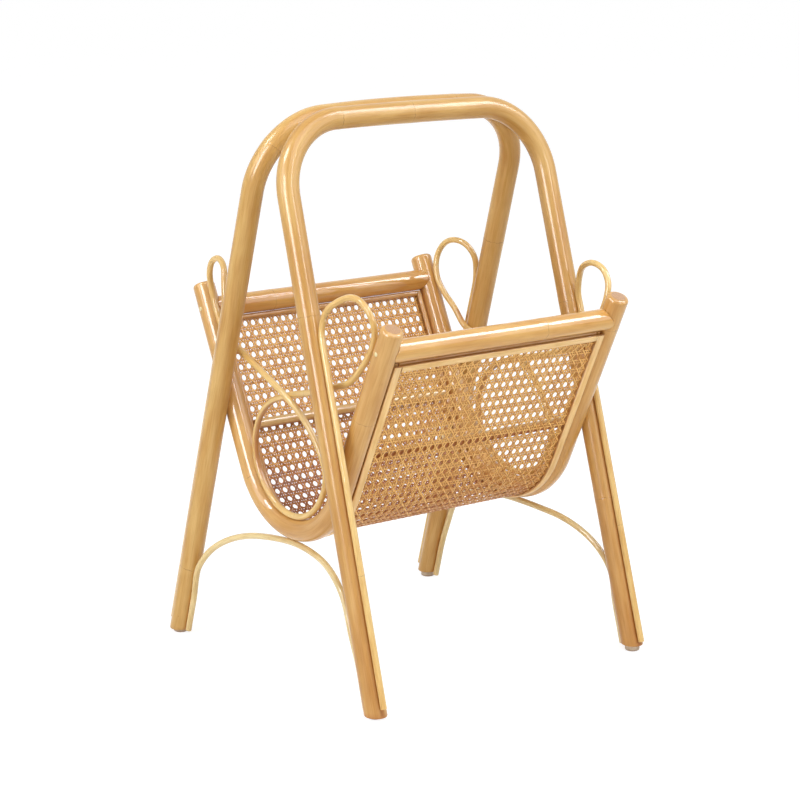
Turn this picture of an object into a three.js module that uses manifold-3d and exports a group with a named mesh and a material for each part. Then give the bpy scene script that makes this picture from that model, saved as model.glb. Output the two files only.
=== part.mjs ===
import * as THREE from 'three';
import { mergeVertices } from 'three/addons/utils/BufferGeometryUtils.js';
import Module from 'manifold-3d';

// Magazine basket of bent rattan poles with a cane-webbing trough hung between two leaning hoops.
// X runs along the trough, Y from front to rear, Z up; the floor is z = 0.

const wasm = await Module();
wasm.setup();

// Stock
const hoopPoleDiameter = 26;
const framePoleDiameter = 26.5;
const railPoleDiameter = 25.5;
const coreDiameter = 7.5;
const beadDiameter = 6.5;
const battenDiameter = 12;
const stripWidth = 7.8;
const stripThickness = 3;
const caneThickness = 1.4;
const seatGap = 0.3;

// Hoops
const footHalfSpanX = 195;
const footHalfSpanY = 200.5;
const barLevel = 642.3;
const barCrown = 4.8;
const barCornerHalfX = 189.5;
const hoopBendRadius = 82;

// Foot glides
const glideDiameter = 18;
const glideHeight = 7;
const glideEdge = 2;

// Trough: end frames, rails and battens
const troughForward = 7.3;
const armTopLevel = 435.5;
const armLean = THREE.MathUtils.degToRad(25.2);
const frameBendRadius = 97;
const frameBottomLevel = 171;
const armTopRounding = 3;
const railDrop = 31;
const battenDrop = 178;

// Beads and strips that hold the cane, measured outward from the end frame's centre line
const beadOffset = 3;
const railStripGap = 2.5;

// Cane net
const netColumns = 13;
const netRows = 23;
const netGapShare = 0.56;
const netBorder = 6;

// Scrolls
const scrollFootClearance = 2;
const upperLoopTopLevel = 459.7;
const upperLoopSetback = 12.4;
const upperLoopStartLevel = 405;
const strandLead = 30;
const frontPassLevel = 356;
const rearPassLevel = 370;
const strandCrossLevel = 327;
const lowerLoopClearance = 9.5;

// Foot arches
const archSpringLevel = 57;
const archSeatAngle = THREE.MathUtils.degToRad(6);

// Screws
const screwHeadDiameter = 8;
const screwHeadHeight = 3;
const screwShankDiameter = 4;
const screwSink = 1.5;
const screwBite = 9;
const handleScrewHalfX = 92;

// Facets
const poleSides = 16;
const coreSides = 8;
const bendSteps = 9;
const barSteps = 8;
const frameBendSteps = 16;
const edgeSteps = 3;
const scrollSteps = 104;
const archSteps = 34;
const cutterReach = 40;

const hoopR = hoopPoleDiameter / 2;
const frameR = framePoleDiameter / 2;
const railR = railPoleDiameter / 2;
const coreR = coreDiameter / 2;
const beadR = beadDiameter / 2;
const battenR = battenDiameter / 2;

const V = (x, y, z) => new THREE.Vector3(x, y, z);

// Hoop geometry: the bars of both hoops lie side by side, so each hoop leans over its own feet
const barHalfY = hoopR + seatGap / 2;

function legPoint(endX, sideY, level) {
  const rise = level / barLevel;
  const x = THREE.MathUtils.lerp(footHalfSpanX, barCornerHalfX, rise);
  const y = THREE.MathUtils.lerp(footHalfSpanY, barHalfY, rise);
  return V(endX * x, sideY * y, level);
}

// The bars bow upward a little between their bends
function barRise(x) {
  return barCrown * Math.max(0, 1 - (x / barCornerHalfX) ** 2);
}

// Unit vector square to a leg, pointing away from the middle of the basket
function legOutward(sideY) {
  return V(0, sideY * barLevel, footHalfSpanY - barHalfY).normalize();
}

// Trough profile in the YZ plane: two straight arms tangent to a round bottom
const bendCentreLevel = frameBottomLevel + frameBendRadius;
const armFoot = {
  y: frameBendRadius * Math.cos(armLean),
  z: bendCentreLevel - frameBendRadius * Math.sin(armLean),
};
const armLength = (armTopLevel - armFoot.z) / Math.cos(armLean);
const armTopY = armFoot.y + armLength * Math.sin(armLean);

// Point of the profile at a distance below the arm top, pushed outward by an offset
function armPoint(x, sideY, drop, offset = 0) {
  const y = armTopY - drop * Math.sin(armLean) + offset * Math.cos(armLean);
  const z = armTopLevel - drop * Math.cos(armLean) - offset * Math.sin(armLean);
  return V(x, sideY * y - troughForward, z);
}

function bottomPoint(x, angle, offset) {
  const radius = frameBendRadius + offset;
  return V(x, radius * Math.cos(angle) - troughForward, bendCentreLevel + radius * Math.sin(angle));
}

// Distance of the arms' centre line from the middle of the trough at a level
function armLineY(level) {
  return armTopY - (armTopLevel - level) * Math.tan(armLean);
}

// Stations of the whole profile, from the rear arm down and round to the front arm
function profileStations(x, startDrop, offset, steps) {
  const stations = [armPoint(x, 1, startDrop, offset)];
  for (let i = 0; i <= steps; i += 1) {
    const angle = THREE.MathUtils.lerp(-armLean, armLean - Math.PI, i / steps);
    stations.push(bottomPoint(x, angle, offset));
  }
  stations.push(armPoint(x, -1, startDrop, offset));
  return stations;
}

// Where a leg and an arm cross, and how far out the end frames stand to touch the legs there
function crossingLevel(sideY) {
  const legSlope = (footHalfSpanY - barHalfY) / barLevel;
  const armSlope = Math.tan(armLean);
  const armAtFloor = armTopY - armTopLevel * armSlope - sideY * troughForward;
  return (footHalfSpanY - armAtFloor) / (legSlope + armSlope);
}
const crossingLevels = { front: crossingLevel(-1), rear: crossingLevel(1) };
const innermostLegX = legPoint(1, 1, Math.max(crossingLevels.front, crossingLevels.rear)).x;
const frameX = innermostLegX - hoopR - frameR - seatGap;

// Closed skin over a row of rings that all have the same number of points
function loft(rings) {
  const sides = rings[0].length;
  const lastRing = (rings.length - 1) * sides;
  const index = [];
  for (let start = 0; start < lastRing; start += sides) {
    for (let k = 0; k < sides; k += 1) {
      const here = start + k;
      const next = start + ((k + 1) % sides);
      index.push(here, next, next + sides, here, next + sides, here + sides);
    }
  }
  for (let k = 1; k < sides - 1; k += 1) {
    index.push(0, k + 1, k);
    index.push(lastRing, lastRing + k, lastRing + k + 1);
  }
  const positions = rings.flat().flatMap((point) => point.toArray());
  const geometry = new THREE.BufferGeometry();
  geometry.setAttribute('position', new THREE.Float32BufferAttribute(positions, 3));
  geometry.setIndex(index);
  return geometry;
}

// Stations of a rod's end with its edge rounded over, from the end face inward
function roundedEnd(end, next, radius, edge) {
  const inward = next.clone().sub(end).normalize();
  const stations = [];
  for (let i = 0; i <= edgeSteps; i += 1) {
    const angle = (Math.PI / 2) * (i / edgeSteps);
    const depth = edge * (1 - Math.cos(angle));
    stations.push({
      point: end.clone().addScaledVector(inward, depth),
      radius: radius - edge + edge * Math.sin(angle),
    });
  }
  return stations;
}

// Round rod through a list of points, with no twist from ring to ring
function rod(points, radius, sides, edge = 0) {
  const last = points.length - 1;
  let stations = points.map((point) => ({ point, radius }));
  if (edge > 0) {
    const head = roundedEnd(points[0], points[1], radius, edge);
    const tail = roundedEnd(points[last], points[last - 1], radius, edge);
    stations = [...head, ...stations.slice(1, last), ...tail.reverse()];
  }
  const along = (i) => stations[i + 1].point.clone().sub(stations[i].point).normalize();
  const tangents = stations.map((station, i) => {
    const before = along(Math.max(i - 1, 0));
    return before.add(along(Math.min(i, stations.length - 2))).normalize();
  });
  const reference = Math.abs(tangents[0].x) < Math.SQRT1_2 ? V(1, 0, 0) : V(0, 1, 0);
  const normal = reference.projectOnPlane(tangents[0]).normalize();
  const rings = stations.map((station, i) => {
    if (i > 0) {
      const turn = new THREE.Quaternion().setFromUnitVectors(tangents[i - 1], tangents[i]);
      normal.applyQuaternion(turn);
    }
    const binormal = tangents[i].clone().cross(normal);
    return Array.from({ length: sides }, (_, k) => {
      const angle = (2 * Math.PI * k) / sides;
      const spoke = normal.clone().multiplyScalar(Math.cos(angle));
      spoke.addScaledVector(binormal, Math.sin(angle));
      return station.point.clone().addScaledVector(spoke, station.radius);
    });
  });
  return loft(rings);
}

const pole = (points, radius, edge) => rod(points, radius, poleSides, edge);
const core = (points, radius, edge) => rod(points, radius, coreSides, edge);

// Rounds the corners of a polyline with arcs of one radius
function filletStations(corners, radius, steps) {
  const stations = [corners[0]];
  for (let i = 1; i < corners.length - 1; i += 1) {
    const back = corners[i - 1].clone().sub(corners[i]).normalize();
    const ahead = corners[i + 1].clone().sub(corners[i]).normalize();
    const opening = back.angleTo(ahead);
    const run = radius / Math.tan(opening / 2);
    const start = corners[i].clone().addScaledVector(back, run);
    const middle = back.clone().add(ahead).normalize();
    const centre = corners[i].clone().addScaledVector(middle, radius / Math.sin(opening / 2));
    const spoke = start.clone().sub(centre);
    const travel = back.clone().multiplyScalar(-radius);
    for (let k = 0; k <= steps; k += 1) {
      const turn = ((Math.PI - opening) * k) / steps;
      const point = centre.clone().addScaledVector(spoke, Math.cos(turn));
      stations.push(point.addScaledVector(travel, Math.sin(turn)));
    }
  }
  stations.push(corners[corners.length - 1]);
  return stations;
}

// Solids for cutting
function toSolid(geometry) {
  const bare = geometry.clone();
  bare.deleteAttribute('normal');
  bare.deleteAttribute('uv');
  const merged = mergeVertices(bare);
  return new wasm.Manifold(new wasm.Mesh({
    numProp: 3,
    vertProperties: new Float32Array(merged.attributes.position.array),
    triVerts: new Uint32Array(merged.index.array),
  }));
}

function cut(geometry, tools) {
  let solid = toSolid(geometry);
  for (const tool of tools) {
    solid = solid.subtract(toSolid(tool));
  }
  const mesh = solid.getMesh();
  const result = new THREE.BufferGeometry();
  result.setAttribute('position', new THREE.BufferAttribute(mesh.vertProperties, 3));
  result.setIndex(new THREE.BufferAttribute(mesh.triVerts, 1));
  return result;
}

// Turned screw along +Z from its tip to its head; slack widens it into the hole that it sits in
function screwGeometry(length, slack, headRoom) {
  const headR = screwHeadDiameter / 2 + slack;
  const shankR = screwShankDiameter / 2 + slack;
  const profile = [
    new THREE.Vector2(0, -slack),
    new THREE.Vector2(shankR, -slack),
    new THREE.Vector2(shankR, length - screwHeadHeight),
    new THREE.Vector2(headR, length),
    new THREE.Vector2(headR, length + headRoom),
    new THREE.Vector2(0, length + headRoom),
  ];
  const points = headRoom > 0 ? profile : profile.filter((point, i) => i !== 4);
  const screw = new THREE.LatheGeometry(points, coreSides * 2);
  return screw.rotateX(Math.PI / 2);
}

// Places a +Z screw so that it points along a direction, with its tip at a point
function aimScrew(geometry, tip, direction) {
  const turn = new THREE.Quaternion().setFromUnitVectors(V(0, 0, 1), direction);
  return geometry.applyQuaternion(turn).translate(tip.x, tip.y, tip.z);
}

// Crossing screws: driven from the trough side of an arm into the leg outside it
function crossingScrew(endX, sideY, slack = 0, headRoom = 0) {
  const level = sideY < 0 ? crossingLevels.front : crossingLevels.rear;
  const leg = legPoint(endX, sideY, level);
  const head = endX * (frameX - frameR + screwSink);
  const tip = leg.x + endX * (screwBite - hoopR);
  const length = Math.abs(tip - head);
  const geometry = screwGeometry(length, slack, headRoom);
  return aimScrew(geometry, V(tip, leg.y, level), V(-endX, 0, 0));
}

// Handle screws: driven forward through the rear bar into the front bar
function handleScrew(endX, slack = 0, headRoom = 0) {
  const head = barHalfY + hoopR - screwSink;
  const tip = -barHalfY - hoopR + screwBite;
  const geometry = screwGeometry(head - tip, slack, headRoom);
  const level = barLevel + barRise(handleScrewHalfX);
  return aimScrew(geometry, V(endX * handleScrewHalfX, tip, level), V(0, 1, 0));
}

// Hoops: one bent pole each, cut level at the feet
function hoop(sideY) {
  const below = legPoint(1, sideY, -hoopR);
  const corner = legPoint(1, sideY, barLevel);
  const corners = [
    V(-below.x, below.y, below.z),
    V(-corner.x, corner.y, corner.z),
    corner,
    below,
  ];
  const stations = filletStations(corners, hoopBendRadius, bendSteps);
  const half = stations.length / 2;
  const [barStart, barEnd] = [stations[half - 1], stations[half]];
  const bar = Array.from({ length: barSteps - 1 }, (_, i) => (
    barStart.clone().lerp(barEnd, (i + 1) / barSteps)
  ));
  stations.splice(half, 0, ...bar);
  for (const station of stations) {
    station.z += barRise(station.x);
  }
  const blank = pole(stations, hoopR);
  const floorBlock = new THREE.BoxGeometry(
    2 * (footHalfSpanX + cutterReach),
    2 * cutterReach,
    2 * cutterReach,
  );
  floorBlock.translate(0, sideY * footHalfSpanY, glideHeight + seatGap - cutterReach);
  const tools = [floorBlock];
  for (const endX of [-1, 1]) {
    tools.push(crossingScrew(endX, sideY, seatGap));
    tools.push(handleScrew(endX, seatGap, cutterReach));
  }
  return cut(blank, tools);
}

// End frames: one pole each, bent into a U that the trough hangs in
function endFrame(endX) {
  const stations = profileStations(endX * frameX, 0, 0, frameBendSteps);
  const blank = pole(stations, frameR, armTopRounding);
  return cut(blank, [-1, 1].map((sideY) => crossingScrew(endX, sideY, seatGap, cutterReach)));
}

// Top rails: coped at both ends to fit round the arms
function topRail(sideY) {
  const ends = [armPoint(-frameX, sideY, railDrop), armPoint(frameX, sideY, railDrop)];
  const tools = [-1, 1].map((endX) => pole(
    [
      armPoint(endX * frameX, sideY, -cutterReach),
      armPoint(endX * frameX, sideY, armLength),
    ],
    frameR + seatGap,
  ));
  return cut(pole(ends, railR), tools);
}

// Inner beads: round canes that the webbing is fixed to, seated against the frames and rails
const beadX = frameX - Math.sqrt((frameR + beadR + seatGap) ** 2 - beadOffset ** 2);
const railBeadDrop = railDrop + Math.sqrt((railR + beadR + seatGap) ** 2 - beadOffset ** 2);

function edgeBead(endX) {
  const start = railDrop + railR + 2 * seatGap;
  return core(profileStations(endX * beadX, start, beadOffset, frameBendSteps), beadR);
}

function railBead(sideY) {
  const end = beadX - beadR - seatGap;
  return core([
    armPoint(-end, sideY, railBeadDrop, beadOffset),
    armPoint(end, sideY, railBeadDrop, beadOffset),
  ], beadR);
}

// Battens: round rods behind the webbing, where the straight sides meet the bottom
const caneInnerOffset = beadOffset + beadR + seatGap;
const caneOuterOffset = caneInnerOffset + caneThickness;

function batten(sideY) {
  const end = beadX - beadR - seatGap;
  const offset = caneInnerOffset - seatGap - battenR;
  return core([
    armPoint(-end, sideY, battenDrop, offset),
    armPoint(end, sideY, battenDrop, offset),
  ], battenR);
}

// Outer strips: flat canes that cover the edge of the webbing
const stripInnerOffset = caneOuterOffset + seatGap;
const stripOuterX = beadX + beadR;
const railStripDrop = railBeadDrop - beadR + railStripGap + stripWidth / 2;

const stripSectionShares = [
  // half widths across and half thicknesses outward, crowned on the outside
  [0.5, 1],
  [1, 0.5],
  [1, -1],
  [-1, -1],
  [-1, 0.5],
  [-0.5, 1],
];

// Runs the section of a strip along the stations that its place in the trough gives
function strip(stationsAt) {
  const lines = stripSectionShares.map(([across, outward]) => stationsAt(
    (across * stripWidth) / 2,
    stripInnerOffset + ((1 + outward) * stripThickness) / 2,
  ));
  return loft(lines[0].map((_, i) => lines.map((line) => line[i])));
}

function railStrip(sideY) {
  return strip((across, offset) => [-sideY, sideY].map((end) => (
    armPoint(end * stripOuterX, sideY, railStripDrop - across, offset)
  )));
}

function edgeStrip(endX) {
  const start = railStripDrop + stripWidth / 2 + seatGap;
  const x = endX * (stripOuterX - stripWidth / 2);
  return strip((across, offset) => profileStations(x + across, start, offset, frameBendSteps));
}

// Cane webbing: one sheet bent round the trough, with a grid of open gaps
const netTopDrop = railStripDrop - stripWidth / 2;
const netStraight = armLength - netTopDrop;
const netRadius = frameBendRadius + caneInnerOffset;
const netArc = netRadius * (Math.PI - 2 * armLean);

// Point at a distance along the sheet's inner face, from the rear top edge to the front one
function netPoint(x, distance, offset) {
  if (distance < netStraight) {
    return armPoint(x, 1, netTopDrop + distance, offset);
  }
  if (distance > netStraight + netArc) {
    return armPoint(x, -1, netTopDrop + 2 * netStraight + netArc - distance, offset);
  }
  return bottomPoint(x, -armLean - (distance - netStraight) / netRadius, offset);
}

// Edges of the bars across a length: a border, then gaps and bars in turn, then a border
function barEdges(length, gaps) {
  const pitch = (length - 2 * netBorder) / gaps;
  const edges = [0];
  for (let i = 0; i < gaps; i += 1) {
    const middle = netBorder + pitch * (i + 1 / 2);
    edges.push(middle - (pitch * netGapShare) / 2);
    edges.push(middle + (pitch * netGapShare) / 2);
  }
  edges.push(length);
  return edges;
}

function caneWebbing() {
  const halfX = stripOuterX - seatGap;
  const across = barEdges(2 * halfX, netColumns);
  const along = barEdges(2 * netStraight + netArc, netRows);
  const positions = [];
  for (const offset of [caneInnerOffset, caneOuterOffset]) {
    for (const distance of along) {
      for (const x of across) {
        positions.push(...netPoint(x - halfX, distance, offset));
      }
    }
  }
  const columns = across.length;
  const rows = along.length;
  const vertex = (layer, row, column) => (layer * rows + row) * columns + column;
  const solidCell = (row, column) => row >= 0 && column >= 0
    && row < rows - 1 && column < columns - 1
    && !(row % 2 === 1 && column % 2 === 1);
  const index = [];
  const quad = (a, b, c, d) => index.push(a, c, b, a, d, c);
  const wall = (rowA, columnA, rowB, columnB) => quad(
    vertex(0, rowA, columnA),
    vertex(0, rowB, columnB),
    vertex(1, rowB, columnB),
    vertex(1, rowA, columnA),
  );
  for (let row = 0; row < rows - 1; row += 1) {
    for (let column = 0; column < columns - 1; column += 1) {
      if (!solidCell(row, column)) continue;
      const [a, b] = [vertex(0, row, column), vertex(0, row, column + 1)];
      const [c, d] = [vertex(0, row + 1, column + 1), vertex(0, row + 1, column)];
      quad(a, b, c, d);
      const top = rows * columns;
      quad(a + top, d + top, c + top, b + top);
      if (!solidCell(row - 1, column)) wall(row, column + 1, row, column);
      if (!solidCell(row + 1, column)) wall(row + 1, column, row + 1, column + 1);
      if (!solidCell(row, column - 1)) wall(row, column, row + 1, column);
      if (!solidCell(row, column + 1)) wall(row + 1, column + 1, row, column + 1);
    }
  }
  const geometry = new THREE.BufferGeometry();
  geometry.setAttribute('position', new THREE.Float32BufferAttribute(positions, 3));
  geometry.setIndex(index);
  return geometry;
}

// Scrolls: one long core each. It climbs the outer side of the front leg, loops out and back,
// passes inside the leg, turns a large loop in the end frame and does the same at the rear leg.
const strandStep = hoopR + coreR + seatGap;
const legPassX = legPoint(1, 1, Math.max(frontPassLevel, rearPassLevel)).x - strandStep;
const lowerLoopX = frameX + coreR + seatGap;
const lowerLoopSeat = Math.sqrt((frameR + coreR + seatGap) ** 2 - (lowerLoopX - frameX) ** 2);
const lowerLoopBottomLevel = frameBottomLevel + lowerLoopSeat;
const lowerLoopHalfWidth = frameBendRadius - frameR - coreR - lowerLoopClearance;

const upperLoopShares = [
  // reach from the leg strand to the far side, level from the start to the top, depth inward
  [-0.041, 0.248, 0.056],
  [0.035, 0.735, 0.218],
  [0.258, 1.029, 0.653],
  [0.551, 1.159, 0.85],
  [0.824, 1.054, 0.89],
  [0.997, 0.761, 1.027],
  [1.019, 0.433, 1.224],
  [0.92, 0.026, 1.331],
];

const loopReturnShares = [
  // reach, level from the start down to the pass behind the leg, depth inward
  [0.695, 0.4, 1.26],
  [0.375, 0.816, 1.116],
];

const lowerLoopShares = [
  // across in half widths, level from the loop's bottom to the crossing, depth outward
  [-0.567, 1.101, 0.737],
  [0.048, 1.023, 0.045],
  [0.595, 0.915, 0.061],
  [0.928, 0.737, 0.073],
  [1.038, 0.509, 0.087],
  [0.933, 0.297, 0.104],
  [0.524, 0.079, 0.121],
  [0.04, 0.001, 0.141],
  [-0.451, 0.05, 0.155],
  [-0.819, 0.22, 0.138],
  [-0.952, 0.432, 0.103],
  [-0.784, 0.655, 0.394],
  [-0.396, 0.882, 0.964],
  [0.036, 1.026, 1.391],
  [0.479, 1.121, 1.231],
  [1.046, 1.226, 0.8],
];

function legStrand(endX, sideY, level) {
  return legPoint(endX, sideY, level).addScaledVector(legOutward(sideY), strandStep);
}

function upperLoop(endX, sideY) {
  const start = legStrand(endX, sideY, upperLoopStartLevel);
  const farY = sideY * (armLineY(upperLoopStartLevel) - upperLoopSetback) - troughForward;
  const passLevel = sideY < 0 ? frontPassLevel : rearPassLevel;
  const along = (toLevel) => ([reach, rise, inward]) => V(
    endX * THREE.MathUtils.lerp(Math.abs(start.x), legPassX, inward),
    THREE.MathUtils.lerp(start.y, farY, reach),
    THREE.MathUtils.lerp(start.z, toLevel, rise),
  );
  return [
    start,
    ...upperLoopShares.map(along(upperLoopTopLevel)),
    ...loopReturnShares.map(along(passLevel)),
    V(endX * legPassX, legPoint(endX, sideY, passLevel).y, passLevel),
  ];
}

function scrollRoute(endX) {
  const lower = lowerLoopShares.map(([across, rise, outward]) => V(
    endX * THREE.MathUtils.lerp(lowerLoopX, legPassX, outward),
    across * lowerLoopHalfWidth - troughForward,
    THREE.MathUtils.lerp(lowerLoopBottomLevel, strandCrossLevel, rise),
  ));
  const lead = upperLoopStartLevel - strandLead;
  return [
    legStrand(endX, -1, lead),
    ...upperLoop(endX, -1),
    ...lower,
    ...upperLoop(endX, 1).reverse(),
    legStrand(endX, 1, lead),
  ];
}

function scroll(endX) {
  const curve = new THREE.CatmullRomCurve3(scrollRoute(endX));
  const foot = glideHeight + scrollFootClearance;
  return core([
    legStrand(endX, -1, foot),
    ...curve.getSpacedPoints(scrollSteps),
    legStrand(endX, 1, foot),
  ], coreR);
}

// Foot arches: a core up the inner side of one leg, over below the end frame and down the other
const archSeat = frameR + coreR + seatGap;
const archTop = {
  x: frameX + archSeat * Math.sin(archSeatAngle),
  z: frameBottomLevel - archSeat * Math.cos(archSeatAngle),
};

const archShares = [
  // across from the middle to the leg strand, level from the spring to the top, depth outward
  [0.932, 0.351, 1.078],
  [0.88, 0.502, 0.993],
  [0.794, 0.663, 0.823],
  [0.664, 0.804, 0.61],
  [0.495, 0.911, 0.364],
  [0.295, 0.968, 0.132],
];

function archStrand(endX, sideY, level) {
  return legPoint(endX, sideY, level).addScaledVector(legOutward(sideY), -strandStep);
}

function footArch(endX) {
  const half = (sideY) => {
    const spring = archStrand(endX, sideY, archSpringLevel);
    const points = archShares.map(([across, rise, outward]) => V(
      endX * THREE.MathUtils.lerp(archTop.x, Math.abs(spring.x), outward),
      THREE.MathUtils.lerp(-troughForward, spring.y, across),
      THREE.MathUtils.lerp(spring.z, archTop.z, rise),
    ));
    return [archStrand(endX, sideY, archSpringLevel - strandLead), spring, ...points];
  };
  const middle = V(endX * archTop.x, -troughForward, archTop.z);
  const route = [...half(-1), middle, ...half(1).reverse()];
  const foot = glideHeight + scrollFootClearance;
  return core([
    archStrand(endX, -1, foot),
    ...new THREE.CatmullRomCurve3(route).getSpacedPoints(archSteps),
    archStrand(endX, 1, foot),
  ], coreR);
}

// Glides: turned caps under the feet with a flat face on the floor
function footGlide(endX, sideY) {
  const radius = glideDiameter / 2;
  const profile = [
    new THREE.Vector2(0, 0),
    new THREE.Vector2(radius - glideEdge, 0),
    new THREE.Vector2(radius - glideEdge / 3, glideEdge / 3),
    new THREE.Vector2(radius, glideEdge),
    new THREE.Vector2(radius, glideHeight),
    new THREE.Vector2(0, glideHeight),
  ];
  const glide = new THREE.LatheGeometry(profile, poleSides).rotateX(Math.PI / 2);
  const foot = legPoint(endX, sideY, glideHeight);
  return glide.translate(foot.x, foot.y, 0);
}

// Finishes
const finish = (color, roughness, metalness = 0) => () => (
  new THREE.MeshStandardMaterial({ color, roughness, metalness })
);
const lacqueredPole = finish(0xd9a964, 0.3);
const lacqueredCore = finish(0xe0b566, 0.35);
const paleStrip = finish(0xe8cf9c, 0.5);
const amberBead = finish(0xc98a4b, 0.35);
const cane = finish(0xd2a564, 0.6);
const glidePlastic = finish(0xcfc2ae, 0.5);
const screwSteel = finish(0x8d8a84, 0.4, 0.9);

const basket = new THREE.Group();

function add(name, geometry, material) {
  const mesh = new THREE.Mesh(geometry, material());
  mesh.name = name;
  basket.add(mesh);
}

const ends = [['left', -1], ['right', 1]];
const sides = [['front', -1], ['rear', 1]];

for (const [side, sideY] of sides) {
  add(`${side}_hoop`, hoop(sideY), lacqueredPole);
  add(`${side}_top_rail`, topRail(sideY), lacqueredPole);
  add(`${side}_rail_bead`, railBead(sideY), amberBead);
  add(`${side}_rail_strip`, railStrip(sideY), paleStrip);
  add(`${side}_batten`, batten(sideY), amberBead);
}

for (const [end, endX] of ends) {
  add(`${end}_end_frame`, endFrame(endX), lacqueredPole);
  add(`${end}_edge_bead`, edgeBead(endX), amberBead);
  add(`${end}_edge_strip`, edgeStrip(endX), paleStrip);
  add(`${end}_scroll`, scroll(endX), lacqueredCore);
  add(`${end}_foot_arch`, footArch(endX), lacqueredCore);
  add(`${end}_handle_screw`, handleScrew(endX), screwSteel);
}

for (const [side, sideY] of sides) {
  for (const [end, endX] of ends) {
    add(`${side}_${end}_glide`, footGlide(endX, sideY), glidePlastic);
    add(`${side}_${end}_crossing_screw`, crossingScrew(endX, sideY), screwSteel);
  }
}

add('cane_webbing', caneWebbing(), cane);

export default basket;
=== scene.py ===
import math
from math import pi

import bpy
import numpy as np
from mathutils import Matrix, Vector
from numpy.linalg import norm


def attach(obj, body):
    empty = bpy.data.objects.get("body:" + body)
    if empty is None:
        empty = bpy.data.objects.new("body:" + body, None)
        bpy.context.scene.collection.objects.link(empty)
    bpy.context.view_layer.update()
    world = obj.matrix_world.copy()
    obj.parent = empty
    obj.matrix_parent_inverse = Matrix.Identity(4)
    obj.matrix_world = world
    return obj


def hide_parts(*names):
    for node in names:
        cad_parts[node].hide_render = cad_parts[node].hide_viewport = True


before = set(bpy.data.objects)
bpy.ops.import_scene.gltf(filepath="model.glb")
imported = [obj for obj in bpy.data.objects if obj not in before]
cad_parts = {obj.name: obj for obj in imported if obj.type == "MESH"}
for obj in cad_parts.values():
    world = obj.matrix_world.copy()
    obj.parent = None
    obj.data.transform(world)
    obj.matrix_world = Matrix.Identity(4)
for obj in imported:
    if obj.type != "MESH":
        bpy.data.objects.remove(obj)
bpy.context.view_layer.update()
rng = np.random.default_rng(11)
scene = bpy.context.scene
MM = 0.001

# Sizes of the solids, in millimetres
HOOP_R = 13.0
FRAME_R = 13.25
RAIL_R = 12.75
CORE_R = 3.75
BEAD_R = 3.25
BATTEN_R = 6.0
STRIP_WIDTH = 7.8
STRIP_THICKNESS = 3.0
CANE_THICKNESS = 1.4
GAP = 0.3
FOOT_X = 195.0
FOOT_Y = 200.5
BAR_LEVEL = 642.3
CORNER_X = 189.5
GLIDE_HEIGHT = 7.0
FORWARD = 7.3
ARM_TOP = 435.5
LEAN = math.radians(25.2)
FRAME_BEND = 97.0
FRAME_BOTTOM = 171.0
RAIL_DROP = 31.0
BATTEN_DROP = 178.0
BEAD_OFFSET = 3.0
RAIL_STRIP_GAP = 2.5

BAR_Y = HOOP_R + GAP / 2
BEND_LEVEL = FRAME_BOTTOM + FRAME_BEND
FOOT_OF_ARM = FRAME_BEND * math.cos(LEAN), BEND_LEVEL - FRAME_BEND * math.sin(LEAN)
ARM_LENGTH = (ARM_TOP - FOOT_OF_ARM[1]) / math.cos(LEAN)
ARM_TOP_Y = FOOT_OF_ARM[0] + ARM_LENGTH * math.sin(LEAN)


def lerp(a, b, share):
    return a + (b - a) * share


def unit(vector):
    return vector / norm(vector)


def leg_point(end, side, level):
    rise = level / BAR_LEVEL
    return np.array([end * lerp(FOOT_X, CORNER_X, rise), side * lerp(FOOT_Y, BAR_Y, rise), level])


def leg_outward(side):
    return unit(np.array([0.0, side * BAR_LEVEL, FOOT_Y - BAR_Y]))


def crossing_level(side):
    leg_slope, arm_slope = (FOOT_Y - BAR_Y) / BAR_LEVEL, math.tan(LEAN)
    arm_at_floor = ARM_TOP_Y - ARM_TOP * arm_slope - side * FORWARD
    return (FOOT_Y - arm_at_floor) / (leg_slope + arm_slope)


INNER_LEG_X = leg_point(1, 1, max(crossing_level(-1), crossing_level(1)))[0]
FRAME_X = INNER_LEG_X - HOOP_R - FRAME_R - GAP
BEAD_X = FRAME_X - math.sqrt((FRAME_R + BEAD_R + GAP) ** 2 - BEAD_OFFSET**2)
RAIL_BEAD_DROP = RAIL_DROP + math.sqrt((RAIL_R + BEAD_R + GAP) ** 2 - BEAD_OFFSET**2)
CANE_IN = BEAD_OFFSET + BEAD_R + GAP
STRIP_IN = CANE_IN + CANE_THICKNESS + GAP
STRIP_X = BEAD_X + BEAD_R
STRIP_DROP = RAIL_BEAD_DROP - BEAD_R + RAIL_STRIP_GAP + STRIP_WIDTH / 2
NET_DROP = STRIP_DROP - STRIP_WIDTH / 2
NET_STRAIGHT = ARM_LENGTH - NET_DROP
NET_RADIUS = FRAME_BEND + CANE_IN
NET_ARC = NET_RADIUS * (pi - 2 * LEAN)
NET_LENGTH = 2 * NET_STRAIGHT + NET_ARC
NET_HALF_X = STRIP_X - GAP


def arm_point(x, side, drop, offset=0.0):
    """A point of the trough's side, by its drop below the arm top and its offset outward."""
    y = ARM_TOP_Y - drop * np.sin(LEAN) + offset * np.cos(LEAN)
    z = ARM_TOP - drop * np.cos(LEAN) - offset * np.sin(LEAN)
    return np.stack(np.broadcast_arrays(x, side * y - FORWARD, z), -1).astype(float)


def bottom_point(x, angle, offset=0.0):
    radius = FRAME_BEND + offset
    y, z = radius * np.cos(angle) - FORWARD, BEND_LEVEL + radius * np.sin(angle)
    return np.stack(np.broadcast_arrays(x, y, z), -1).astype(float)


def profile(x, drop, offset, steps=64):
    """The trough's outline from the rear arm down and round to the front arm."""
    round_bottom = bottom_point(x, np.linspace(-LEAN, LEAN - pi, steps + 1), offset)
    return np.vstack([arm_point(x, 1, drop, offset), round_bottom, arm_point(x, -1, drop, offset)])


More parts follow.
